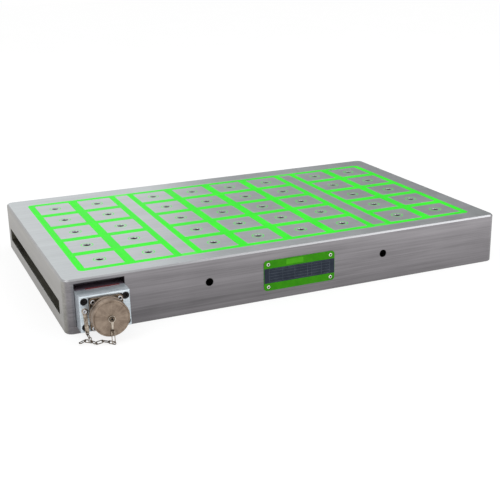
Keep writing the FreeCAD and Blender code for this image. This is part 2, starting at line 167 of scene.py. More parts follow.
def twoTone(tree, pattern, low, high, dark, light):
    return blendColour(tree, span(tree, pattern, low, high, 0, 1), dark, light)


def paint(tree, shader, colour):
    plug(tree, colour, shader.inputs["Base Color"])


def polish(tree, shader, pattern, smooth, rough):
    plug(tree, span(tree, pattern, 0.3, 0.7, smooth, rough), shader.inputs["Roughness"])


def relief(tree, shader, height, strength, distance):
    bump = tree.nodes.new("ShaderNodeBump")
    bump.inputs["Strength"].default_value = strength
    bump.inputs["Distance"].default_value = distance
    plug(tree, height, bump.inputs["Height"])
    plug(tree, bump.outputs["Normal"], shader.inputs["Normal"])


def seenDirectly(tree):
    # 1 for rays from the camera, mirrors and glass, 0 for light that only fills the room
    path = tree.nodes.new("ShaderNodeLightPath")
    mirrored = maths(tree, "MAXIMUM", path.outputs["Is Glossy Ray"], path.outputs["Is Transmission Ray"])
    return maths(tree, "MAXIMUM", path.outputs["Is Camera Ray"], mirrored)


print("materials")

# base colours for top, long sides and ends: partly the ground and milled finishes, partly painted light and
# shade
steel = {
    "top": tone(187, 192, 194), "side": tone(137, 134, 137), "end": tone(156, 154, 149),
    "topRough": 0.34, "sideRough": 0.40, "along": 7, "across": 420, "bandAlong": 3.5, "bandAcross": 60,
    "topDepth": 0.07, "sideDepth": 0.38, "brightest": 1.08,
}
# the casting runs on past both ends of each rib
ribEnd = {"x": (123.7, 150.8), "y": (150.0, 159.0), "middleY": -4.0, "colour": tone(43, 239, 27)}
# painted shade inside the slots in both end faces and inside the connector pocket
slotShade = {"x": (288.4, 302.4), "y": (-161.0, 165.0), "z": (16.0, 35.0),
             "colour": tone(112, 108, 92), "share": 0.75}
pocketShade = {"x": (-291.5, -227.5), "y": (-187.8, -170.8), "z": (8.5, 62.8),
               "colour": tone(104, 92, 104), "share": 0.75}
# painted light and shade on the sides, by height and by x
paintedSideLight = {"top": 58.0, "low": 0.78, "high": 1.15, "x": (-120.0, 200.0), "left": 0.97, "right": 1.14}


def inBox(tree, area, x, y, z):
    return product(tree, within(tree, x, *area["x"]), within(tree, y, *area["y"]),
                   within(tree, z, *area["z"]))


def brushing(tree, place, along, across, detail, roughness, isEnd):
    # grain along X on the long sides and top, along Y on the ends
    alongX = cloud(tree, stretched(tree, place, (along, across, across)), 1, detail, roughness)
    alongY = cloud(tree, stretched(tree, place, (across, along, across)), 1, detail, roughness)
    return blendValue(tree, isEnd, alongX, alongY)


def groundSteel(name):
    # surface-ground on top with faint lines, milled and brushed along the sides; the lighter top and
    # lighter ends are partly the finish and partly painted light
    material, tree, shader = startMaterial(name, 1.0, 0.35)
    place = piecePlace(tree)
    x, y, z = axes(tree, place)
    farX = maths(tree, "ABSOLUTE", x)
    facingX, _, facingZ = axes(tree, piecePlace(tree, "Normal"))
    isTop = span(tree, facingZ, 0.55, 0.95, 0, 1, soft=True)
    isEnd = span(tree, maths(tree, "ABSOLUTE", facingX), 0.5, 0.9, 0, 1, soft=True)
    streaks = brushing(tree, place, steel["along"], steel["across"], 6, 0.62, isEnd)
    bands = brushing(tree, place, steel["bandAlong"], steel["bandAcross"], 3, 0.5, isEnd)
    mottle = cloud(tree, place, 22, 3, 0.5)
    # base colour picked by face direction, partly painted light and shade
    side = blendColour(tree, isEnd, steel["side"], steel["end"])
    base = blendColour(tree, isTop, side, steel["top"])
    depth = blendValue(tree, isTop, steel["sideDepth"], steel["topDepth"])
    grain = span(tree, weighed(tree, streaks, 0.6, bands, 0.4), 0.36, 0.64, 0, 1)
    level = blendValue(tree, grain, maths(tree, "SUBTRACT", 1, depth), steel["brightest"])
    toned = blendColour(tree, 1.0, base, level, "MULTIPLY")
    warmth = span(tree, mottle, 0.35, 0.7, 0, 0.22)
    warm = blendColour(tree, warmth, toned, shade(steel["side"], 1.15))
    coloured = blendColour(tree, isTop, warm, toned)

    # painted light and shade: the sides are darker low down and to the left, lighter to the top and to the
    # right
    fromX, toX = [end * mm for end in paintedSideLight["x"]]
    upward = span(tree, z, 0, paintedSideLight["top"] * mm, paintedSideLight["low"], paintedSideLight["high"])
    rightward = span(tree, x, fromX, toX, paintedSideLight["left"], paintedSideLight["right"])
    sideLight = blendValue(tree, isTop, product(tree, upward, rightward), 1.0)
    coloured = blendColour(tree, 1.0, coloured, sideLight, "MULTIPLY")
    # painted shade laid into the end slots and the connector pocket
    for shadedArea, across in ((slotShade, farX), (pocketShade, x)):
        share = product(tree, inBox(tree, shadedArea, across, y, z), shadedArea["share"])
        coloured = blendColour(tree, share, coloured, shadedArea["colour"])
    farY = maths(tree, "ABSOLUTE", maths(tree, "SUBTRACT", y, ribEnd["middleY"] * mm))
    atRibEnd = product(tree, within(tree, farX, *ribEnd["x"]), within(tree, farY, *ribEnd["y"]),
                       maths(tree, "GREATER_THAN", facingZ, 0.9))
    paint(tree, shader, blendColour(tree, atRibEnd, coloured, ribEnd["colour"]))
    plug(tree, maths(tree, "SUBTRACT", 1, atRibEnd), shader.inputs["Metallic"])
    sideRough = span(tree, streaks, 0.3, 0.7, steel["sideRough"] - 0.07, steel["sideRough"] + 0.08)
    topRough = span(tree, mottle, 0.3, 0.7, steel["topRough"] - 0.03, steel["topRough"] + 0.05)
    plug(tree, blendValue(tree, isTop, sideRough, topRough), shader.inputs["Roughness"])
    relief(tree, shader, streaks, 0.22, 0.00012)
    return material


def castResin(name):
    # hard two-part casting, flush with the ground steel
    material, tree, shader = startMaterial(name, 0.0, 0.4, Specular_IOR_Level=0.12)
    place = piecePlace(tree)
    patches = cloud(tree, place, 26, 4, 0.5)
    specks = cloud(tree, place, 900, 2, 0.5)
    colour = twoTone(tree, patches, 0.35, 0.7, tone(34, 233, 20), tone(52, 246, 34))
    speckled = span(tree, specks, 0.62, 0.72, 0, 0.25)
    paint(tree, shader, blendColour(tree, speckled, colour, tone(26, 194, 36)))
    polish(tree, shader, patches, 0.36, 0.5)
    relief(tree, shader, specks, 0.1, 0.00005)
    return material


def brushedMetal(name, dark, light, roughness, along, metallic=1.0):
    # along gives the stretch of the brushing on the three axes
    material, tree, shader = startMaterial(name, metallic, roughness)
    place = piecePlace(tree)
    lines = cloud(tree, stretched(tree, place, along), 1, 6, 0.65)
    patches = cloud(tree, place, 90, 3, 0.5)
    mixed = weighed(tree, lines, 0.65, patches, 0.35)
    paint(tree, shader, twoTone(tree, mixed, 0.36, 0.64, dark, light))
    polish(tree, shader, lines, roughness - 0.06, roughness + 0.08)
    relief(tree, shader, lines, 0.25, 0.00008)
    return material


def wornMetal(name, dark, light, roughness, scale, metallic=1.0):
    material, tree, shader = startMaterial(name, metallic, roughness)
    place = piecePlace(tree)
    patches = cloud(tree, place, scale, 5, 0.6, 0.4)
    fine = cloud(tree, place, scale * 7, 3, 0.6)
    paint(tree, shader, twoTone(tree, patches, 0.38, 0.64, dark, light))
    polish(tree, shader, fine, roughness - 0.08, roughness + 0.12)
    relief(tree, shader, fine, 0.2, 0.00005)
    return material


def rubber(name, dark, light):
    material, tree, shader = startMaterial(name, 0.0, 0.6, Specular_IOR_Level=0.35)
    place = piecePlace(tree)
    patches = cloud(tree, place, 160, 4, 0.6)
    pores = cloud(tree, place, 2600, 2, 0.5)
    paint(tree, shader, twoTone(tree, patches, 0.3, 0.7, dark, light))
    polish(tree, shader, pores, 0.52, 0.72)
    relief(tree, shader, pores, 0.2, 0.00006)
    return material


def turnedMetal(name, look):
    # piece's own Z is its axis: rays and turning rings on the flat, with a stain low on one side
    material, tree, shader = startMaterial(name, 1.0, look["roughness"])
    place = piecePlace(tree)
    x, y, z = axes(tree, place)
    angle = maths(tree, "ARCTAN2", y, x)
    radius = maths(tree, "SQRT", maths(tree, "ADD", product(tree, x, x), product(tree, y, y)))
    polar = bundled(tree, product(tree, angle, look["rays"]), product(tree, radius, 30),
                    product(tree, z, 900))
    rays = cloud(tree, polar, 1, 4, 0.6)
    rings = bundled(tree, product(tree, radius, 2600), product(tree, z, 2600),
                    product(tree, angle, 0.6))
    turning = cloud(tree, rings, 1, 3, 0.6)
    patches = cloud(tree, place, 120, 4, 0.55)
    mixed = weighed(tree, rays, 0.35, patches, 0.65)
    colour = twoTone(tree, mixed, 0.38, 0.62, look["dark"], look["light"])
    if "stain" in look:
        away = tree.nodes.new("ShaderNodeVectorMath")
        away.operation = "DISTANCE"
        plug(tree, place, away.inputs[0])
        away.inputs[1].default_value = [c * mm for c in look["stainAt"]]
        ragged = maths(tree, "ADD", away.outputs["Value"], product(tree, patches, 0.004))
        stained = span(tree, ragged, 0.0035, 0.0068, 0.55, 0, soft=True)
        colour = blendColour(tree, stained, colour, look["stain"])
    paint(tree, shader, colour)
    polish(tree, shader, turning, look["roughness"] - 0.07, look["roughness"] + 0.08)
    relief(tree, shader, turning, 0.25, 0.00006)
    return material


def printedPaint(name, dark, light):
    material, tree, shader = startMaterial(name, 0.0, 0.42, Specular_IOR_Level=0.2)
    place = piecePlace(tree)
    patches = cloud(tree, place, 70, 4, 0.55)
    grainy = cloud(tree, stretched(tree, place, (300, 300, 2200)), 1, 3, 0.6)
    paint(tree, shader, twoTone(tree, patches, 0.35, 0.7, dark, light))
    polish(tree, shader, grainy, 0.36, 0.5)
    relief(tree, shader, grainy, 0.08, 0.00004)
    return material


def woundWire(name):
    material, tree, shader = startMaterial(name, 1.0, 0.34)
    wave = tree.nodes.new("ShaderNodeTexWave")
    wave.bands_direction = "Z"
    wave.inputs["Scale"].default_value = 260
    wave.inputs["Distortion"].default_value = 0.6
    plug(tree, piecePlace(tree), wave.inputs["Vector"])
    paint(tree, shader, blendColour(tree, wave.outputs["Fac"], tone(112, 52, 26), tone(214, 126, 76)))
    relief(tree, shader, wave.outputs["Fac"], 0.5, 0.0003)
    return material


capLook = {"dark": tone(126, 111, 98), "light": tone(158, 142, 127), "roughness": 0.38, "rays": 8.0,
           "stain": tone(168, 104, 62), "stainAt": (-8.5, -10.5, 0)}
shellLook = {"dark": tone(96, 84, 68), "light": tone(150, 134, 112), "roughness": 0.34, "rays": 9.0}

finish = {
    "steel": groundSteel("groundSteel"),
    "resin": castResin("castResin"),
    # tapped holes: steel coloured near-black as painted shade
    "thread": wornMetal("holeShadeSteel", tone(22, 21, 20), tone(62, 60, 58), 0.36, 700),
    "holeEdge": wornMetal("holeEdge", tone(104, 106, 108), tone(170, 174, 176), 0.3, 600),
    "plateGreen": printedPaint("plateGreen", tone(56, 154, 0), tone(70, 172, 4)),
    "plateField": printedPaint("plateField", tone(84, 190, 22), tone(92, 200, 30)),
    "plateSlate": printedPaint("plateSlate", tone(36, 44, 58), tone(52, 60, 74)),
    "plateLine": printedPaint("plateLine", tone(84, 96, 108), tone(112, 122, 132)),
    "rivet": wornMetal("rivetHead", tone(196, 198, 190), tone(236, 236, 230), 0.3, 500),
    # black oxide on the block screws; the same colour is painted shade in rivet bores, screw sockets and
    # the cap rivet's hole
    "dark": wornMetal("blackOxideAndHoleShade", tone(16, 15, 16), tone(34, 32, 33), 0.42, 600, metallic=0.6),
    "block": brushedMetal("millAluminium", tone(186, 200, 208), tone(232, 240, 246), 0.34, (14, 500, 500),
                          metallic=0.7),
    "flange": brushedMetal("olivePlate", tone(88, 76, 62), tone(140, 122, 104), 0.38, (60, 400, 400)),
    "screw": wornMetal("brightScrew", tone(178, 180, 184), tone(230, 232, 236), 0.2, 600),
    "chain": wornMetal("chainSteel", tone(52, 44, 38), tone(128, 114, 98), 0.26, 420),
    "hanger": wornMetal("nickelWire", tone(112, 100, 88), tone(196, 184, 168), 0.24, 380),
    "tab": brushedMetal("nickelStrip", tone(142, 130, 116), tone(216, 206, 192), 0.24, (400, 400, 20)),
    "redRubber": rubber("redRubber", tone(74, 12, 20), tone(108, 18, 28)),
    "blackRubber": rubber("blackRubber", tone(18, 18, 19), tone(36, 35, 36)),
    # dark sheet that stands for the shade on the block's top in the pocket
    "blockTopShade": rubber("blockTopShadeSheet", tone(62, 50, 60), tone(84, 70, 80)),
    "alnico": wornMetal("castAlnico", tone(96, 92, 88), tone(140, 136, 130), 0.5, 240),
    "copper": woundWire("copperWinding"),
    "nickel": wornMetal("nickelPlate", tone(168, 166, 160), tone(216, 214, 208), 0.2, 260),
    "sleeve": rubber("wireSleeve", tone(24, 24, 27), tone(46, 46, 50)),
    "insert": rubber("insertPlastic", tone(30, 34, 32), tone(52, 58, 54)),
    "brass": wornMetal("contactBrass", tone(176, 136, 62), tone(224, 186, 104), 0.22, 400),
    "cap": turnedMetal("oliveCap", capLook),
    "shell": turnedMetal("oliveShell", shellLook),
}

print("mesh helpers")


def around(radius, count, start=0.0, sweep=360.0, steps=None):
    # (x, y) points on an arc; count points on a full circle when steps is left out
    steps = steps or count
    angles = [math.radians(start + sweep * i / steps) for i in range(count)]
    return [(radius * math.cos(a), radius * math.sin(a)) for a in angles]


def circle(radius, out, count=64):
    return [Vector((x, y, out)) for x, y in around(radius, count)]


def roundLoop(radius, x=0.0, y=0.0, count=48):
    return [(x + dx, y + dy) for dx, dy in around(radius, count)]


def roundedLoop(width, height, corner, steps=8):
    loop = []
    for sx, sy, start in ((1, 1, 0), (-1, 1, 90), (-1, -1, 180), (1, -1, 270)):
        cx, cy = sx * (width / 2 - corner), sy * (height / 2 - corner)
        loop += [(cx + dx, cy + dy) for dx, dy in around(corner, steps + 1, start, 90, steps)]
    return loop


def hexagon(across, out, count=48):
    # count points on a hexagon, so it lofts to a circle
    ring = []
    for i in range(count):
        angle = 2 * math.pi * i / count
        inSide = (angle + math.pi / 6) % (math.pi / 3) - math.pi / 6
        radius = across / 2 / math.cos(inSide)
        ring.append(Vector((radius * math.cos(angle), radius * math.sin(angle), out)))
    return ring


def squareRing(half, out, count=48):
    ring = []
    for c, s in around(1.0, count):
        reach = half / max(abs(c), abs(s))
        ring.append(Vector((c * reach, s * reach, out)))
    return ring


def lofted(rings, capped=True, looped=False):
    # quads between rings with equal point counts; looped joins the last ring to the first
    points, faces = [], []
    count = len(rings[0])
    for ring in rings:
        points.extend(ring)
    steps = len(rings) if looped else len(rings) - 1
    for r in range(steps):
        a, b = r * count, ((r + 1) % len(rings)) * count
        for i in range(count):
            j = (i + 1) % count
            faces.append((a + i, a + j, b + j, b + i))
    if capped and not looped:
        last = (len(rings) - 1) * count
        faces.append(tuple(reversed(range(count))))
        faces.append(tuple(range(last, last + count)))
    return points, faces


def turned(profile, count=64, looped=False):
    # profile is (radius, out) pairs
    return lofted([circle(radius, out, count) for radius, out in profile], looped=looped)


def joined(*parts):
    # several (points, faces) as one
    points, faces = [], []
    for morePoints, moreFaces in parts:
        first = len(points)
        points.extend(morePoints)
        faces.extend(tuple(first + i for i in face) for face in moreFaces)
    return points, faces


def moved(part, matrix):
    return [matrix @ p for p in part[0]], part[1]


def spin(degrees, axis):
    return Matrix.Rotation(math.radians(degrees), 4, axis)


def shift(x, y, z):
    return Matrix.Translation((x, y, z))


def putAt(x, y, z):
    # millimetres to a place in the scene
    return Matrix.Translation((x * mm, y * mm, z * mm))


def smoothMesh(mesh, sharp):
    mesh.polygons.foreach_set("use_smooth", [True] * len(mesh.polygons))
    mesh.set_sharp_from_angle(angle=math.radians(sharp))
    mesh.update()


def makeMesh(name, part, looks, faceLooks=None, sharp=35):
    mesh = bpy.data.meshes.new(name)
    mesh.from_pydata([p * mm for p in part[0]], [], part[1])
    for look in looks:
        mesh.materials.append(finish[look])
    if faceLooks:
        mesh.polygons.foreach_set("material_index", faceLooks)
    smoothMesh(mesh, sharp)
    return mesh


def makePiece(name, mesh, body, at=None, stands=()):
    piece = bpy.data.objects.new(name, mesh)
    scene.collection.objects.link(piece)
    if at is not None:
        piece.matrix_world = at
    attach(piece, body)
    if stands:
        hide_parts(*stands)


def addPiece(name, part, look, body, slotName, at=None, stands=(), sharp=35):
    # a piece of one look with a mesh of its own
    makePiece(name, makeMesh(name, part, [look], sharp=sharp), body, at, stands)


def flatPlate(outline, holes, thickness, edge=0.0):
    # outline and holes are lists of (x, y); a filled curve as a mesh, back at 0, front at thickness
    curve = bpy.data.curves.new("plate", "CURVE")
    curve.dimensions = "2D"
    curve.fill_mode = "BOTH"
    curve.extrude = (thickness / 2 - edge) * mm
    curve.bevel_depth = edge * mm
    curve.bevel_resolution = 1
    curve.offset = -edge * mm
    for loop in [outline] + list(holes):
        spline = curve.splines.new("POLY")
        spline.points.add(len(loop) - 1)
        for point, (x, y) in zip(spline.points, loop):
            point.co = (x * mm, y * mm, 0, 1)
        spline.use_cyclic_u = True
    holder = bpy.data.objects.new("plate", curve)
    scene.collection.objects.link(holder)
    bpy.context.view_layer.update()
    evaluated = holder.evaluated_get(bpy.context.evaluated_depsgraph_get())
    shaped = bpy.data.meshes.new_from_object(evaluated)
    points = [v.co / mm + Vector((0, 0, thickness / 2)) for v in shaped.vertices]
    faces = [tuple(p.vertices) for p in shaped.polygons]
    bpy.data.objects.remove(holder)
    bpy.data.meshes.remove(shaped)
    bpy.data.curves.remove(curve)
    return points, faces


def wireLoop(path, radius, sides=12):
    # round wire swept along a flat closed path
    rings = []
    up = Vector((0, 0, 1))
    for i, point in enumerate(path):
        heading = (path[(i + 1) % len(path)] - path[i - 1]).normalized()
        side = heading.cross(up).normalized()
        rings.append([point + dx * side + dy * up for dx, dy in around(radius, sides)])
    return lofted(rings, looped=True)


def stadium(length, width, steps=10):
    # centre line of a round-ended link along X
    radius = width / 2
    straight = length / 2 - radius
    path = []
    for side in (1, -1):
        for x, y in around(radius, steps + 1, -90, 180, steps):
            path.append(Vector((side * (straight + x), side * y, 0)))
    return path


def boxOf(nodeName):
    # middle, low corner and high corner
    low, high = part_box(nodeName)
    return (low + high) / 2 / mm, low / mm, high / mm


# carried-over solids

cadEdges = {"sharp": 30, "weld": 0.02, "segments": 2, "angle": 40, "weight": 90}


def dress(nodeName, look, soften):
    solid = cadNodes[nodeName]
    mesh = solid.data
    mesh.materials.clear()
    mesh.materials.append(finish[look])
    if "custom_normal" in mesh.attributes:
        mesh.attributes.remove(mesh.attributes["custom_normal"])
    weld = solid.modifiers.new("weld", "WELD")
    weld.merge_threshold = cadEdges["weld"] * mm
    if soften:
        bevel = solid.modifiers.new("edges", "BEVEL")
        bevel.width = soften * mm
        bevel.segments = cadEdges["segments"]
        bevel.limit_method = "ANGLE"
        bevel.angle_limit = math.radians(cadEdges["angle"])
        bevel.use_clamp_overlap = True
        flat = solid.modifiers.new("flatFaces", "WEIGHTED_NORMAL")
        flat.keep_sharp = True
        flat.weight = cadEdges["weight"]
    else:
        split = solid.modifiers.new("flatFaces", "EDGE_SPLIT")
        split.split_angle = math.radians(cadEdges["sharp"])
    smoothMesh(mesh, cadEdges["sharp"])


print("solids that keep their CAD shape")
# node: look and width of the softened edges
carried = {
    "chuck_body": ("steel", 0.3), "resin_fill_left": ("resin", 0), "resin_fill_middle": ("resin", 0),
    "resin_fill_right": ("resin", 0), "alnico_magnets": ("alnico", 0.4), "coils": ("copper", 0.5),
    "row_magnets": ("nickel", 0.3), "column_magnets": ("nickel", 0.3), "border_magnets": ("nickel", 0.3),
    "rib_jumpers": ("copper", 0.3), "wire_bundle": ("sleeve", 0), "connector_block": ("block", 0.25),
    "block_gasket": ("redRubber", 0), "flange_gasket": ("blackRubber", 0.1),
    "receptacle_insert": ("insert", 0.2), "contact_pins": ("brass", 0.2), "cap_seal": ("blackRubber", 0.2),
}
for nodeName, (look, soften) in carried.items():
    dress(nodeName, look, soften)

# hand-worn round on the body's top edge, cut over the plain chamfer
topRound = {"low": 65.0, "high": 67.6, "outsideX": 290.0, "outsideY": 175.0, "level": 0.01,
            "width": 1.15, "segments": 4}
bodySolid = cadNodes["chuck_body"]
bodyMesh = bodySolid.data
weights = bodyMesh.attributes.new("bevel_weight_edge", "FLOAT", "EDGE")
for edge in bodyMesh.edges:
    ends = [bodyMesh.vertices[i].co / mm for i in edge.vertices]
    high = all(topRound["low"] < end.z < topRound["high"] for end in ends)
    outer = all(abs(end.x) > topRound["outsideX"] or abs(end.y) > topRound["outsideY"] for end in ends)
    if high and outer and abs(ends[0].z - ends[1].z) < topRound["level"]:
        weights.data[edge.index].value = 1.0
rounding = bodySolid.modifiers.new("roundTop", "BEVEL")
rounding.width = topRound["width"] * mm
rounding.segments = topRound["segments"]
rounding.limit_method = "WEIGHT"
bodySolid.modifiers.move(len(bodySolid.modifiers) - 1, 1)  # just after the weld

print("pole columns")
pole = {"columns": 8, "rows": 5, "half": 25.0, "edge": 0.25, "ringOuter": 8.1, "ringInner": 7.1,
        "chamfer": 4.8, "chamferDeep": 1.0, "hole": 4.0, "core": 3.4, "pitch": 1.25, "threadTop": 1.2,
        "threaded": 13.0, "deep": 16.0, "point": 1.8, "points": 48}


def threadRings(core, major, pitch, top, bottom, count, perTurn=4):
    # helical groove as rings whose points run in and out with the turn
    rings = []
    steps = int((top - bottom) / pitch * perTurn)
    for k in range(steps + 1):
        z = top - (top - bottom) * k / steps
        ring = []
        for i in range(count):
            angle = 2 * math.pi * i / count
            phase = (z / pitch + angle / (2 * math.pi)) % 1.0
            radius = core + (major - core) * abs(phase - 0.5) * 2
            ring.append(Vector((radius * math.cos(angle), radius * math.sin(angle), z)))
        rings.append(ring)
    return rings


def onePole(top, bottom):
    # points and faces, and the look of each face: 0 steel, 1 resin, 2 thread, 3 hole's edge
    n = pole["points"]
    half, edge = pole["half"], pole["edge"]
    rings = [squareRing(half, bottom, n), squareRing(half, top - edge, n), squareRing(half - edge, top, n),
             circle(pole["ringOuter"], top, n), circle(pole["ringInner"], top, n),
             circle(pole["chamfer"], top, n), circle(pole["hole"], top - pole["chamferDeep"], n)]
    looks = [0, 0, 0, 1, 0, 3]
    thread = threadRings(pole["core"], pole["hole"], pole["pitch"],
                         top - pole["threadTop"], top - pole["threaded"], n)
    bottomOut = top - pole["deep"]
    rings += thread + [circle(pole["core"], bottomOut, n), circle(0.05, bottomOut - pole["point"], n)]
    looks += [2] * (len(thread) + 2)
    points, faces = lofted(rings)
    faceLooks = [look for look in looks for _ in range(n)]
    return points, faces, faceLooks + [0, 2]


middle, low, high = boxOf("pole_column_1")
rowStep = ((high.y - low.y) - 2 * pole["half"]) / (pole["rows"] - 1)
points, faces, faceLooks = onePole(high.z, low.z)
column = [moved((points, faces), shift(0, low.y + pole["half"] + row * rowStep - middle.y, 0))
          for row in range(pole["rows"])]
columnMesh = makeMesh("poleColumn", joined(*column), ["steel", "resin", "thread", "holeEdge"],
                      faceLooks * pole["rows"])
for number in range(1, pole["columns"] + 1):
    nodeName = "pole_column_%d" % number
    centre = boxOf(nodeName)[0]
    makePiece("poles_%d" % number, columnMesh, "chuck",
              at=putAt(centre.x, centre.y, 0), stands=(nodeName,))

print("lifting hole threads")
lifting = {"spacing": 246.0, "z": 37.5, "crest": 4.75, "root": 5.08, "pitch": 1.75, "shallow": 0.6,
           "deep": 16.0, "points": 40}
bodyLow, bodyHigh = boxOf("chuck_body")[1:]
liner = lofted(threadRings(lifting["crest"], lifting["root"], lifting["pitch"], -lifting["shallow"],
                           -lifting["deep"], lifting["points"]), capped=False)
holes = []
for x in (-lifting["spacing"] / 2, lifting["spacing"] / 2):
    for faceY, turn in ((bodyLow.y, 90), (bodyHigh.y, -90)):
        holes.append(moved(liner, shift(x, faceY, lifting["z"]) @ spin(turn, "X")))
addPiece("liftingThreads", joined(*holes), "thread", "chuck", "ground_steel")

print("nameplate")
plate = {"corner": 4.5, "edge": 0.12, "rivetX": 44.0, "rivetZ": 15.0, "rivetHole": 1.2, "side": 0.3,
         "bandLow": -10.0, "bandHigh": 9.6, "print": 0.05, "blankX": (-19.0, 5.0), "blankZ": (11.8, 18.3)}
table = {"rows": (-8.6, -4.9, -1.2, 2.5, 6.2, 8.4), "columns": (-43.0, -24.0, -7.0, 11.0, 17.0, 31.0, 43.0),
         "line": 0.28, "thick": 0.03}
middle, low, high = boxOf("nameplate")
plateWide, plateTall, plateThick = high.x - low.x, high.z - low.z, high.y - low.y
standing = putAt(middle.x, high.y, middle.z) @ spin(90, "X")
corners = [(sx, sz) for sx in (-1, 1) for sz in (-1, 1)]
rivetsAt = [(sx * plate["rivetX"], sz * plate["rivetZ"]) for sx, sz in corners]


def slab(x0, x1, z0, z1, low, high):
    outline = [(x0, z0), (x1, z0), (x1, z1), (x0, z1)]
    return lofted([[Vector((x, z, out)) for x, z in outline] for out in (low, high)])


def onPlate(name, part, look, **more):
    addPiece(name, part, look, "chuck", "plate_paint", at=standing, **more)


sheet = flatPlate(roundedLoop(plateWide, plateTall, plate["corner"]),
                  [roundLoop(plate["rivetHole"], x, z, 20) for x, z in rivetsAt], plateThick, plate["edge"])
onPlate("namePlate", sheet, "plateGreen", stands=("nameplate",))
halfWide = plateWide / 2 - plate["side"]
printed = plateThick + plate["print"]
onPlate("plateBand", slab(-halfWide, halfWide, plate["bandLow"], plate["bandHigh"], plateThick, printed),
        "plateSlate")
halfLine = table["line"] / 2
rows, columns = table["rows"], table["columns"]
lines = [slab(columns[0], columns[-1], z - halfLine, z + halfLine, printed, printed + table["thick"])
         for z in rows]
lines += [slab(x - halfLine, x + halfLine, rows[0], rows[-1], printed, printed + table["thick"])
          for x in columns]
onPlate("plateTable", joined(*lines), "plateLine")
onPlate("plateBlank", slab(*plate["blankX"], *plate["blankZ"], plateThick, printed), "plateField")

rivetProfile = [(1.15, -0.6), (1.15, 0.0), (2.3, 0.0), (2.35, 0.25), (2.1, 0.6), (1.75, 0.78), (1.4, 0.8),
                (1.2, 0.55), (1.15, 0.1)]
# black cones in the rivets' bores: painted shade in their hollows
hollowShadeProfile = [(1.15, 0.0), (1.15, 0.2), (0.5, 0.3)]
heads = [moved(turned(rivetProfile, 32), shift(x, z, plateThick)) for x, z in rivetsAt]
hollowShades = [moved(turned(hollowShadeProfile, 24), shift(x, z, plateThick)) for x, z in rivetsAt]
onPlate("plateRivets", joined(*heads), "rivet")
onPlate("rivetHollowShade", joined(*hollowShades), "dark")

print("connector screws")
shellMiddle = boxOf("receptacle_shell")[0]
blockLow, blockHigh = boxOf("connector_block")[1:]
# pieces on the connector axis: own Z points out of the block, own Y is up
onAxis = putAt(shellMiddle.x, blockLow.y, shellMiddle.z) @ spin(90, "X")


def socketScrew(size, long, count=48):
    # head stands up from 0, shank goes down
    head, tall, socketFloor = size["head"], size["tall"], size["tall"] - size["depth"]
    return lofted([
        circle(size["shank"], -long, count), circle(size["shank"], 0, count), circle(head, 0, count),
        circle(head, tall - 0.35, count), circle(head - 0.15, tall - 0.1, count),
        circle(head - 0.4, tall, count), circle(size["hex"] / 2 + 0.75, tall, count),
        hexagon(size["hex"], tall - 0.3, count), hexagon(size["hex"], socketFloor, count),
        circle(0.1, socketFloor - 0.7, count)])


blockScrew = {"head": 4.2, "tall": 5.0, "hex": 4.0, "depth": 2.6, "shank": 2.45, "inset": 4.25}
screwLow, screwHigh = boxOf("block_screws")[1:]
seat = screwLow.y + blockScrew["tall"]
screw = socketScrew(blockScrew, screwHigh.y - seat)
parts = []
for x in (screwLow.x + blockScrew["inset"], screwHigh.x - blockScrew["inset"]):
    for z in (screwLow.z + blockScrew["inset"], screwHigh.z - blockScrew["inset"]):
        parts.append(moved(screw, shift(x, seat, z) @ spin(90, "X")))
addPiece("blockScrews", joined(*parts), "dark", "chuck", "black_screw", stands=("block_screws",))

# red gasket's edge above the block, just outside the pocket's mouth
gasketEdge = {"wide": 41.0, "tall": 3.4, "above": 1.1, "thick": 1.0, "corner": 0.8, "edge": 0.15,
              "middleX": -256.5, "faceY": -187.4}
edgeZ = blockHigh.z + gasketEdge["above"] - gasketEdge["tall"] / 2
strip = flatPlate(roundedLoop(gasketEdge["wide"], gasketEdge["tall"], gasketEdge["corner"]), [],
                  gasketEdge["thick"], gasketEdge["edge"])
addPiece("gasketEdge", strip, "redRubber", "chuck", "red_rubber",
         at=putAt(gasketEdge["middleX"], gasketEdge["faceY"], edgeZ) @ spin(90, "X"))

# painted shade: a dark sheet on the block's top inside the pocket, behind the gasket, seen from above
blockTopShade = {"wide": 58.6, "deep": 16.1, "thick": 0.95, "corner": 0.8, "edge": 0.15,
          "middleX": -259.4, "middleY": -179.15}
strip = flatPlate(roundedLoop(blockTopShade["wide"], blockTopShade["deep"], blockTopShade["corner"]), [], blockTopShade["thick"],
                  blockTopShade["edge"])
addPiece("blockTopShadeCover", strip, "blockTopShade", "chuck", "black_rubber",
         at=putAt(blockTopShade["middleX"], blockTopShade["middleY"], blockHigh.z))

print("receptacle")
flange = {"size": 40.0, "corner": 4.0, "rear": 0.8, "thick": 3.2, "screwAt": 15.9, "screwHole": 1.9,
          "bore": 17.0, "edge": 0.4}
barrel = {"bore": 16.4, "front": 18.5, "crest": 18.9, "root": 18.2, "pitch": 1.5, "rear": -12.0,
          "rearRadius": 16.6, "throat": 14.5, "points": 72}
front = flange["rear"] + flange["thick"]
screwsAt = [(sx * flange["screwAt"], sz * flange["screwAt"]) for sx, sz in corners]
openings = [roundLoop(flange["screwHole"], x, z, 24) for x, z in screwsAt] + [roundLoop(flange["bore"])]
plain = flatPlate(roundedLoop(flange["size"], flange["size"], flange["corner"]), openings,
                  flange["thick"], flange["edge"])


def barrelRings(profile):
    return [circle(radius, out, barrel["points"]) for radius, out in profile]


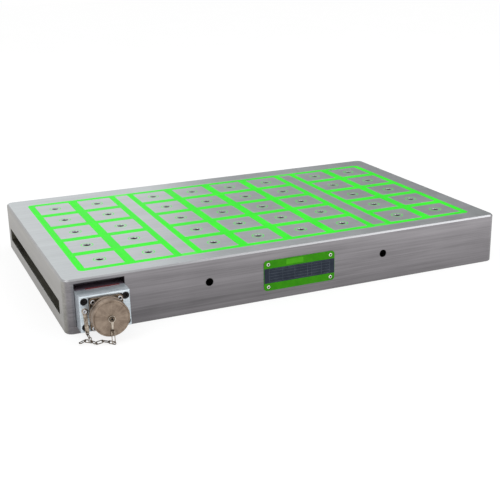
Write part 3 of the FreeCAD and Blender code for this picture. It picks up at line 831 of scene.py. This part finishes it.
rings = barrelRings([(barrel["rearRadius"], barrel["rear"]), (barrel["rearRadius"], flange["rear"]),
                     (17.4, front - 0.5), (18.6, front), (barrel["crest"], front + 0.5)])
thread = threadRings(barrel["crest"], barrel["root"], barrel["pitch"], barrel["front"] - 0.6, front + 2.0,
                     barrel["points"])
rings += list(reversed(thread))
rings += barrelRings([(barrel["root"], barrel["front"] - 0.2), (barrel["root"] - 0.3, barrel["front"]),
                      (barrel["bore"], barrel["front"]), (barrel["bore"], front + 1),
                      (barrel["throat"], front + 1), (barrel["throat"], barrel["rear"])])
addPiece("receptacleShell", lofted(rings, looped=True), "shell", "chuck", "olive_aluminium", at=onAxis,
         stands=("receptacle_shell",))
addPiece("receptacleFlange", moved(plain, shift(0, 0, flange["rear"])), "flange", "chuck",
         "olive_aluminium", at=onAxis)
flangeScrew = {"head": 2.9, "tall": 1.7, "hex": 2.5, "depth": 1.2, "shank": 1.5, "long": 3.0}
screw = socketScrew(flangeScrew, flangeScrew["long"])
# black plugs in the screws' sockets: painted shade
socket = turned([(1.2, 0), (1.2, flangeScrew["tall"] - 0.9)], 24)
screws = [moved(screw, shift(x, z, front)) for x, z in screwsAt]
socketShades = [moved(socket, shift(x, z, front)) for x, z in screwsAt]
addPiece("flangeScrews", joined(*screws), "screw", "chuck", "black_screw", at=onAxis)
addPiece("flangeSocketShade", joined(*socketShades), "dark", "chuck", "black_screw", at=onAxis)

print("dust cap")
cap = {"bore": 19.2, "inside": 21.0, "rimWide": 4.6, "groove": 0.9, "grooveWide": 1.5, "edge": 1.0,
       "sunk": 0.12, "rivetHole": 2.1, "points": 96}
capMiddle, capLow, capHigh = boxOf("dust_cap")
r = capMiddle.x - capLow.x
f = blockLow.y - capLow.y
b = blockLow.y - capHigh.y
rim = b + cap["rimWide"]
ridge = rim + cap["grooveWide"]
bed = f - cap["sunk"]
profile = [
    (cap["bore"], b), (r - 0.5, b), (r, b + 0.5), (r, rim - 0.3), (r - 0.3, rim),
    (r - cap["groove"], rim + 0.1), (r - cap["groove"], ridge), (r - 0.35, ridge + 0.15),
    (r - 0.1, ridge + 0.5), (r - 0.1, f - cap["edge"]), (r - 0.35, f - 0.4), (r - 0.8, f - 0.1),
    (r - 1.4, f), (r - 1.75, f - 0.4), (r - 2.1, f - 0.42), (r - 2.4, f - 0.1), (14.0, bed),
    (cap["rivetHole"], bed), (cap["rivetHole"], cap["inside"]), (cap["bore"], cap["inside"])]
addPiece("dustCap", turned(profile, cap["points"], looped=True), "cap", "cap", "olive_aluminium", at=onAxis,
         stands=("dust_cap",), sharp=25)

print("cap rivet and tab")
tabRear = blockLow.y - boxOf("cap_tab")[2].y
# (radius, out) from the tab's rear face
eyeletProfile = [(1.3, -2.2), (3.3, -3.1), (3.4, -3.4), (2.0, -3.2), (1.95, 1.0), (3.3, 1.0), (3.45, 1.3),
                 (3.2, 1.75), (2.6, 1.98), (1.9, 1.95), (1.35, 1.6), (1.2, 0.8)]
eyeletShadeProfile = [(1.3, -2.0), (1.3, 0.7), (0.6, 0.75)]
onTab = shift(0, 0, tabRear)


def onSwivel(name, part, look, stands=()):
    addPiece(name, moved(part, onTab), look, "cap_swivel", "nickel_steel", at=onAxis, stands=stands)


onSwivel("capRivet", turned(eyeletProfile, 48, looped=True), "chain", stands=("cap_rivet",))
# black plug in the eyelet's bore: painted shade
onSwivel("rivetHole", turned(eyeletShadeProfile, 32), "dark")

tab = {"head": 4.2, "neck": 1.6, "foot": 1.0, "long": 14.5, "thick": 1.0, "edge": 0.2, "hole": 2.0,
       "eyeOuter": 1.8, "eyeInner": 1.1, "eyeEdge": 0.15}
neck, foot = tab["neck"], tab["foot"]
outline = around(tab["head"], 25, -66, 312, 24)
outline += [(-neck - 0.2, -4.6), (-neck + 0.3, -7.0), (-foot, -tab["long"]), (foot, -tab["long"]),
            (neck - 0.3, -7.0), (neck + 0.2, -4.6)]
strip = flatPlate(outline, [roundLoop(tab["hole"], count=24)], tab["thick"], tab["edge"])
inner, outer, worn = tab["eyeInner"], tab["eyeOuter"], tab["eyeEdge"]
eyeProfile = [(inner, -foot), (outer - worn, -foot), (outer, -foot + worn),
              (outer, foot - worn), (outer - worn, foot), (inner, foot)]
eye = moved(turned(eyeProfile, 28, looped=True), shift(0, -tab["long"], tab["eyeOuter"]) @ spin(90, "Y"))
onSwivel("capTab", strip, "tab", stands=("cap_tab",))
onSwivel("tabEye", eye, "chain")

print("chain")
chain = {"wire": 0.55, "eye": 1.65, "inner": 8.85, "headings": (131.0, 135.0, 195.0, 110.0, 140.0),
         "tail": 215.0}
linkPart = wireLoop(stadium(chain["inner"] + 2 * chain["wire"], 2 * chain["eye"]), chain["wire"])


def layLink(name, nodeName, body, heading, onEdge):
    turn = spin(heading, "Z") @ spin(90, "X") if onEdge else spin(heading, "Z")
    addPiece(name, moved(linkPart, turn), "chain", body, "chain_steel", at=putAt(*boxOf(nodeName)[0]),
             stands=(nodeName,))


for number, heading in enumerate(chain["headings"], 1):
    name = "link_%d" % number
    layLink(name, "chain_" + name, name, heading, number % 2 == 1)
layLink("tailLink", "chain_tail", "tail", chain["tail"], False)

hanger = {"narrower": 2.0, "shorter": 1.1, "corner": 0.9, "wire": 0.54}
middle, low, high = boxOf("chain_hanger")
path = [Vector((x, z, 0)) for x, z in roundedLoop(high.x - low.x - hanger["narrower"],
                                                  high.z - low.z - hanger["shorter"], hanger["corner"], 5)]
addPiece("chainHanger", moved(wireLoop(path, hanger["wire"]), spin(90, "X")), "hanger", "hanger",
         "nickel_steel", at=putAt(*middle), stands=("chain_hanger",))

ring = {"radius": 2.5, "wire": 0.4, "heading": 110, "points": 40}
ringMiddle = boxOf("chain_ring")[0]
ringPart = wireLoop(circle(ring["radius"], 0, ring["points"]), ring["wire"])
addPiece("chainRing", moved(ringPart, spin(ring["heading"], "Z") @ spin(90, "Y")), "hanger", "ring",
         "chain_steel", at=putAt(*ringMiddle), stands=("chain_ring",))

strand = {"wire": 0.55, "eye": 1.65, "front": 0.4, "startZ": 6.45}
start = Vector((boxOf("chain_strand")[0].x, blockLow.y - strand["front"], strand["startZ"]))
end = ringMiddle + Vector((0, 0, ring["radius"]))
reach = end - start
path = stadium(reach.length + 2 * strand["eye"] - strand["wire"], 2 * strand["eye"])
lean = spin(-math.degrees(math.atan2(reach.z, -reach.y)), "X") @ spin(90, "Z") @ spin(90, "X")
addPiece("chainStrand", moved(wireLoop(path, strand["wire"]), lean), "chain", "strand", "chain_steel",
         at=putAt(*((start + end) / 2)), stands=("chain_strand",))

print("chain lug")
lug = {"eye": 2.05, "hole": 1.05, "top": 3.6, "topHole": 1.8, "thick": 0.8, "edge": 0.15, "strip": 2.3,
       "stripFrom": 3.5, "stripTo": 5.0, "eyeZ": 8.0, "topX": -284.5, "topZ": 36.0}
lugScrew = {"head": 2.6, "tall": 1.6, "hex": 2.0, "depth": 1.1, "shank": 1.6, "long": 4.0}
footX = ringMiddle.x
lean = Vector((lug["topX"] - footX, lug["topZ"] - lug["eyeZ"]))
length = lean.length
stripEnd = length - lug["stripTo"]
outline = around(lug["eye"], 17, 90, 180, 16)
outline += [(lug["stripFrom"], -lug["strip"]), (stripEnd, -lug["strip"])]
outline += [(length + x, y) for x, y in around(lug["top"], 17, -120, 240, 16)]
outline += [(stripEnd, lug["strip"]), (lug["stripFrom"], lug["strip"])]
flat = flatPlate(outline, [roundLoop(lug["hole"], count=20), roundLoop(lug["topHole"], length, 0, 20)],
                 lug["thick"], lug["edge"])
tilt = math.degrees(math.atan2(lean.y, lean.x))
lugAt = putAt(footX, blockLow.y, lug["eyeZ"]) @ spin(90, "X") @ spin(tilt, "Z")
addPiece("chainLug", flat, "hanger", "chuck", "nickel_steel", at=lugAt, stands=("chain_lug",))
screw = moved(socketScrew(lugScrew, lugScrew["long"]), shift(length, 0, lug["thick"]))
addPiece("lugScrew", screw, "screw", "chuck", "black_screw", at=lugAt)

print("floor, lamps and camera")


def stagePlane(name, halfX, halfY, material):
    mesh = bpy.data.meshes.new(name)
    mesh.from_pydata([(-halfX, -halfY, 0), (halfX, -halfY, 0), (halfX, halfY, 0), (-halfX, halfY, 0)], [],
                     [(0, 1, 2, 3)])
    mesh.materials.append(material)
    plane = bpy.data.objects.new(name, mesh)
    scene.collection.objects.link(plane)
    return plane


def facing(target, place, axis):
    return (Vector(target) - Vector(place)).to_track_quat(axis, "Y").to_euler()


studio = {"floorHalf": 6, "floorDark": 0.235, "floorLight": 0.245, "floorGlow": 0.80, "roomLight": 0.8,
          "roomSeen": 1.0}
paper, tree, shader = startMaterial("paperFloor", 0.0, 0.9, Specular_IOR_Level=0.0)
fibres = cloud(tree, piecePlace(tree), 5)
paint(tree, shader, twoTone(tree, fibres, 0.3, 0.7, (*[studio["floorDark"]] * 3, 1),
                            (*[studio["floorLight"]] * 3, 1)))
glow = tree.nodes.new("ShaderNodeEmission")
glow.inputs["Color"].default_value = (1, 1, 1, 1)
plug(tree, product(tree, seenDirectly(tree), studio["floorGlow"]), glow.inputs["Strength"])
both = tree.nodes.new("ShaderNodeAddShader")
plug(tree, shader.outputs["BSDF"], both.inputs[0])
plug(tree, glow.outputs["Emission"], both.inputs[1])
plug(tree, both.outputs["Shader"], tree.nodes["Material Output"].inputs["Surface"])
stagePlane("floor", studio["floorHalf"], studio["floorHalf"], paper)

world.use_nodes = True
tree = world.node_tree
room = tree.nodes["Background"]
strength = blendValue(tree, seenDirectly(tree), studio["roomLight"], studio["roomSeen"])
plug(tree, strength, room.inputs["Strength"])
room.inputs["Color"].default_value = (1, 1, 1, 1)

# metres
lamps = {
    "keyLamp": {"at": (-1.5, -0.7, 1.9), "size": 1.4, "power": 10, "to": (0, 0, 0.03)},
    "rightLamp": {"at": (1.5, -0.9, 1.7), "size": 1.5, "power": 13, "to": (0.1, 0, 0.05)},
    "backLamp": {"at": (-0.6, 1.7, 1.3), "size": 1.2, "power": 1.5, "to": (-0.1, 0, 0.05)},
}
for name, lamp in lamps.items():
    data = bpy.data.lights.new(name, "AREA")
    data.shape = "SQUARE"
    data.size = lamp["size"]
    data.energy = lamp["power"]
    made = bpy.data.objects.new(name, data)
    scene.collection.objects.link(made)
    made.location = lamp["at"]
    made.rotation_euler = facing(lamp["to"], lamp["at"], "-Z")

# grey card that the ground top reflects on its right half
card = {"at": (1.26, 0.98, 0.5), "wide": 2.3, "tall": 1.0}
cardPaint, tree, shader = startMaterial("cardPaint", 0.0, 0.9, Specular_IOR_Level=0.0)
place = piecePlace(tree)
across = span(tree, axes(tree, place)[0], -card["wide"] / 2, card["wide"] / 4, 0, 1, soft=True)
mottle = blendColour(tree, cloud(tree, place, 4), tone(148, 144, 143), tone(160, 156, 155))
paint(tree, shader, blendColour(tree, across, tone(214, 214, 214), mottle))
greyCard = stagePlane("greyCard", card["wide"] / 2, card["tall"] / 2, cardPaint)
greyCard.location = card["at"]
greyCard.rotation_euler = facing((0, 0, card["at"][2]), card["at"], "Z")
greyCard.visible_camera = False
greyCard.visible_diffuse = False
greyCard.visible_shadow = False

view = {"at": (-0.49935, -1.19395, 0.43618), "turn": (71.5315, 0.9956, -23.5284), "lens": 67.1956,
        "sensor": 36, "far": 50}
camera = bpy.data.objects.new("camera", bpy.data.cameras.new("camera"))
scene.collection.objects.link(camera)
camera.location = view["at"]
camera.rotation_euler = [math.radians(a) for a in view["turn"]]
camera.data.lens = view["lens"]
camera.data.sensor_width = view["sensor"]
camera.data.clip_end = view["far"]
scene.camera = camera
scene.view_settings.view_transform = "Standard"
